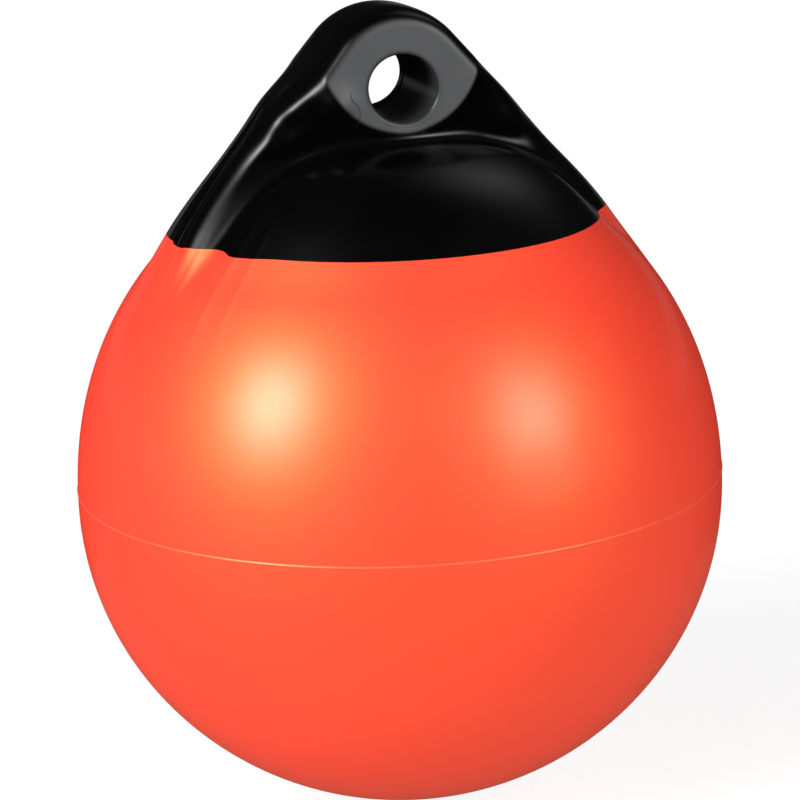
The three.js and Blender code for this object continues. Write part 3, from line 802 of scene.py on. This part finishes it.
def finish_normals(mesh, skin, bore_satin_and_painted_sheen):
    """Normals from the form: the skin's own outside, the eye's profile inside it. Marks the satin faces,
    which also take a grey painted sheen.
    """
    mesh.shade_smooth()
    count = len(mesh.vertices)
    co = np.empty(count * 3)
    mesh.vertices.foreach_get("co", co)
    co = co.reshape(-1, 3) / MM
    co[:, 2] -= skin.base_depth
    normals = skin.normal(co)
    r = np.hypot(co[:, 0] / skin.eye_oval, co[:, 2] - skin.eye_height)
    lean = math.tan(skin.cheek_draft) / skin.lug_half_thickness
    along = np.abs(co[:, 1]) / (1 - lean * (co[:, 2] - skin.eye_height))
    beside = skin.beside_eye(co[:, 2])
    inside = (r < skin.eye_half_height + skin.eye_lip + 0.02) & beside
    face, lip = skin.lug_half_thickness, skin.eye_lip
    radial = np.stack([-co[:, 0] / skin.eye_oval ** 2, 0 * r, -(co[:, 2] - skin.eye_height)], -1)
    radial /= np.maximum(np.linalg.norm(radial, axis=-1, keepdims=True), 1e-9)
    angle = np.arcsin(np.clip((along - face + lip) / lip, 0, 1))
    tilt = np.stack([0 * r, np.sign(co[:, 1]) * np.sin(angle), 0 * r], -1) + radial * np.cos(angle)[:, None]
    normals[inside] = tilt[inside]
    # the mask sets both the satin roughness and the grey painted sheen
    satin_and_painted_sheen = mesh.attributes.new("cheek", "FLOAT", "POINT")
    bore = (r < skin.eye_half_height + 1.0) & beside
    mask = np.where(bore, bore_satin_and_painted_sheen, skin.cheek(co[:, 0], co[:, 1], co[:, 2]))
    satin_and_painted_sheen.data.foreach_set("value", mask.astype(np.float32))
    # the middle of the hidden flat face at the seam
    flat = (co[:, 2] < skin.seam_height + 2) & (np.hypot(co[:, 0], co[:, 1]) < 5)
    normals[flat] = (0, 0, -1)
    mesh.normals_split_custom_set_from_vertices(normals.tolist())


def valve_pose(skin):
    """The valve's own Z stands square on the back of the head."""
    y, h = skin.hit(np.array([skin.valve_height]), np.full(1, math.pi / 2), np.zeros(1))[0][1:]
    normal = skin.normal(np.array([[0.0, y, h]]))[0]
    normal = Vector((0, normal[1], normal[2])).normalized()
    spot = Vector((0, y, h + skin.base_depth)) * MM
    return Matrix.Translation(spot) @ normal.to_track_quat("Z", "Y").to_matrix().to_4x4()


class BUOY_OT_inflation_valve(bpy.types.Operator):
    """Needle valve in the back of the head"""
    bl_idname = "buoy.inflation_valve"
    bl_label = "Inflation valve"

    def execute(self, context):
        scene = context.scene
        skin = Skin(scene.buoy_sizes)
        pose = valve_pose(skin)
        line = np.array(VALVE_BARREL + VALVE_FLANGE + VALVE_MOUTH) * MM
        turn = np.arange(VALVE_AROUND) / VALVE_AROUND * 2 * math.pi
        r, z = line[:, :1], line[:, 1:]
        rings = np.stack([r * np.cos(turn), r * np.sin(turn), z + 0 * turn], -1)
        bottom, inner = (0, 0, line[0, 1]), (0, 0, line[-1, 1] - PASSAGE_POINT * MM)
        mesh = ring_mesh("needle_valve", rings, np.array(bottom), np.array(inner))
        mesh.transform(pose)
        obj = new_object("needle_valve", mesh)
        mesh.materials.append(valve_rubber(scene.buoy_looks))
        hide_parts("inflation_valve")
        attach(obj, "root")
        return {"FINISHED"}


class BUOY_OT_stage(bpy.types.Operator):
    """White floor, the soft light of two studio lamps, and the camera"""
    bl_idname = "buoy.stage"
    bl_label = "Stage"

    def execute(self, context):
        scene = context.scene
        s = scene.buoy_stage
        centre = Vector((0, 0, scene.buoy_sizes.base_depth))
        make_camera(scene, s, centre)
        make_floor(s)
        make_world(scene, s)
        scene.view_settings.view_transform = "Standard"
        return {"FINISHED"}


def make_camera(scene, s, centre):
    a, e, r = s.azimuth, s.elevation, s.roll
    back = Vector((math.sin(a) * math.cos(e), -math.cos(a) * math.cos(e), math.sin(e)))
    right = (-back).cross(Vector((0, 0, 1))).normalized()
    up = right.cross(-back)
    forward = (-back + right * AIM_RIGHT + up * AIM_UP).normalized()
    right = forward.cross(Vector((0, 0, 1))).normalized()
    up = right.cross(forward)
    side = right * math.cos(r) + up * math.sin(r)
    head = -right * math.sin(r) + up * math.cos(r)
    data = bpy.data.cameras.new("photo_camera")
    data.lens = s.lens
    data.sensor_width = 36
    data.sensor_fit = "HORIZONTAL"
    data.clip_end = 60
    camera = bpy.data.objects.new("photo_camera", data)
    scene.collection.objects.link(camera)
    turn = Matrix((side, head, -forward)).transposed().to_4x4()
    camera.matrix_world = Matrix.Translation(centre + back * s.distance) @ turn
    scene.camera = camera


def make_floor(s):
    mesh = bpy.data.meshes.new("studio_floor")
    corners = [(x * FLOOR_HALF, y * FLOOR_HALF, 0) for x, y in ((-1, -1), (1, -1), (1, 1), (-1, 1))]
    mesh.from_pydata(corners, [], [(0, 1, 2, 3)])
    mesh.update()
    floor = new_object("studio_floor", mesh)
    material = bpy.data.materials.new("white_floor")
    material.use_nodes = True
    tree = material.node_tree
    tree.nodes.clear()
    out = tree.nodes.new("ShaderNodeOutputMaterial")
    path = tree.nodes.new("ShaderNodeLightPath")
    # what the picture shows: white, with the buoy's soft shadow
    paper = add_node(tree, "ShaderNodeBsdfDiffuse", in_Color=(FLOOR_PAPER, FLOOR_PAPER, FLOOR_PAPER, 1))
    glow = add_node(tree, "ShaderNodeEmission", in_Color=(1, 1, 1, 1), in_Strength=FLOOR_GLOW)
    seen = tree.nodes.new("ShaderNodeAddShader")
    tree.links.new(paper.outputs["BSDF"], seen.inputs[0])
    tree.links.new(glow.outputs["Emission"], seen.inputs[1])
    # what the gloss mirrors: a white sheet that ends a little beyond the ball, tinted warm with painted
    # bounce light from the orange ball
    split = tree.nodes.new("ShaderNodeSeparateXYZ")
    tree.links.new(object_coords(tree), split.inputs["Vector"])
    mask = None
    for axis, low, high in (("X", *SHEET_X), ("Y", *SHEET_Y)):
        for edge, kind in ((low, "GREATER_THAN"), (high, "LESS_THAN")):
            side = math_node(tree, kind, split.outputs[axis], edge)
            mask = side if mask is None else math_node(tree, "MULTIPLY", mask, side)
    sheet = add_node(tree, "ShaderNodeEmission", in_Color=SHEET_PAINTED_BOUNCE)
    tree.links.new(math_node(tree, "MULTIPLY", mask, s.sheet), sheet.inputs["Strength"])
    plain = add_node(tree, "ShaderNodeBsdfDiffuse", in_Color=(FLOOR_BOUNCE, FLOOR_BOUNCE, FLOOR_BOUNCE, 1))
    mirrored = tree.nodes.new("ShaderNodeMixShader")
    tree.links.new(path.outputs["Is Glossy Ray"], mirrored.inputs["Fac"])
    tree.links.new(plain.outputs["BSDF"], mirrored.inputs[1])
    tree.links.new(sheet.outputs["Emission"], mirrored.inputs[2])
    mix = tree.nodes.new("ShaderNodeMixShader")
    straight = math_node(tree, "MAXIMUM", path.outputs["Is Camera Ray"], path.outputs["Is Transmission Ray"])
    tree.links.new(straight, mix.inputs["Fac"])
    tree.links.new(mirrored.outputs["Shader"], mix.inputs[1])
    tree.links.new(seen.outputs["Shader"], mix.inputs[2])
    tree.links.new(mix.outputs["Shader"], out.inputs["Surface"])
    mesh.materials.append(material)


def lobe(tree, way, azimuth, elevation, strength, spread):
    """Soft light, strongest in one direction and fading over the spread. Angles are in degrees."""
    a, e = math.radians(azimuth), math.radians(elevation)
    dot = tree.nodes.new("ShaderNodeVectorMath")
    dot.operation = "DOT_PRODUCT"
    tree.links.new(way, dot.inputs[0])
    dot.inputs[1].default_value = (math.sin(a) * math.cos(e), -math.cos(a) * math.cos(e), math.sin(e))
    away = math_node(tree, "SUBTRACT", dot.outputs["Value"], 1.0)
    fall = math_node(tree, "MULTIPLY", away, 1 / math.radians(spread) ** 2)
    return math_node(tree, "MULTIPLY", math_node(tree, "EXPONENT", fall), strength)


def make_world(scene, s):
    world = bpy.data.worlds.new("studio")
    scene.world = world
    world.use_nodes = True
    tree = world.node_tree
    tree.nodes.clear()
    out = tree.nodes.new("ShaderNodeOutputWorld")
    way = tree.nodes.new("ShaderNodeTexCoord").outputs["Generated"]
    path = tree.nodes.new("ShaderNodeLightPath")
    light = s.room
    for place, strength in ((KEY_LAMP, s.key), (FILL_LAMP, s.fill)):
        light = math_node(tree, "ADD", lobe(tree, way, *place, strength, LAMP_SPREAD), light)
        light = math_node(tree, "ADD", lobe(tree, way, *place, strength * HALO_SHARE, HALO_SPREAD), light)
    # the pale backdrop stands low behind the buoy and shows in the gloss
    split = tree.nodes.new("ShaderNodeSeparateXYZ")
    tree.links.new(way, split.inputs["Vector"])
    low = math_node(tree, "LESS_THAN", split.outputs["Z"], BACKDROP_TOP)
    behind = math_node(tree, "GREATER_THAN", split.outputs["Y"], BACKDROP_SIDE)
    place = math_node(tree, "MULTIPLY", low, behind)
    cloth = math_node(tree, "MULTIPLY", place, path.outputs["Is Glossy Ray"])
    light = math_node(tree, "MULTIPLY_ADD", cloth, s.cloth, light)
    # a pale screen stands higher on the right, where the crown's shoulder mirrors it
    screen = lobe(tree, way, *SCREEN_PLACE, s.screen, SCREEN_SPREAD)
    light = math_node(tree, "MULTIPLY_ADD", screen, path.outputs["Is Glossy Ray"], light)
    room = add_node(tree, "ShaderNodeBackground", in_Color=(1, 1, 1, 1))
    tree.links.new(light, room.inputs["Strength"])
    seen = add_node(tree, "ShaderNodeBackground", in_Color=(1, 1, 1, 1), in_Strength=1.0)
    mix = tree.nodes.new("ShaderNodeMixShader")
    straight = math_node(tree, "MAXIMUM", path.outputs["Is Camera Ray"], path.outputs["Is Transmission Ray"])
    tree.links.new(straight, mix.inputs["Fac"])
    tree.links.new(room.outputs["Background"], mix.inputs[1])
    tree.links.new(seen.outputs["Background"], mix.inputs[2])
    tree.links.new(mix.outputs["Shader"], out.inputs["Surface"])


class BUOY_PT_panel(bpy.types.Panel):
    """Lists the buoy's settings and steps"""
    bl_label = "Mooring buoy"
    bl_idname = "BUOY_PT_panel"
    bl_space_type = "VIEW_3D"
    bl_region_type = "UI"
    bl_category = "Buoy"

    def draw(self, context):
        layout = self.layout
        scene = context.scene
        for group in (scene.buoy_sizes, scene.buoy_looks, scene.buoy_stage):
            box = layout.box()
            for name in group.bl_rna.properties.keys():
                if name not in ("rna_type", "name"):
                    box.prop(group, name)
        for step in STEPS:
            layout.operator(step.bl_idname)


STEPS = (BUOY_OT_stage, BUOY_OT_float_ball, BUOY_OT_rope_head, BUOY_OT_inflation_valve)
CLASSES = (BUOY_PG_sizes, BUOY_PG_looks, BUOY_PG_stage, *STEPS, BUOY_PT_panel)


def register():
    for cls in CLASSES:
        bpy.utils.register_class(cls)
    bpy.types.Scene.buoy_sizes = PointerProperty(type=BUOY_PG_sizes)
    bpy.types.Scene.buoy_looks = PointerProperty(type=BUOY_PG_looks)
    bpy.types.Scene.buoy_stage = PointerProperty(type=BUOY_PG_stage)


def unregister():
    del bpy.types.Scene.buoy_stage
    del bpy.types.Scene.buoy_looks
    del bpy.types.Scene.buoy_sizes
    for cls in reversed(CLASSES):
        bpy.utils.unregister_class(cls)


def main():
    register()
    bpy.ops.buoy.stage()
    bpy.ops.buoy.float_ball()
    bpy.ops.buoy.rope_head()
    bpy.ops.buoy.inflation_valve()


if __name__ == "__main__":
    main()
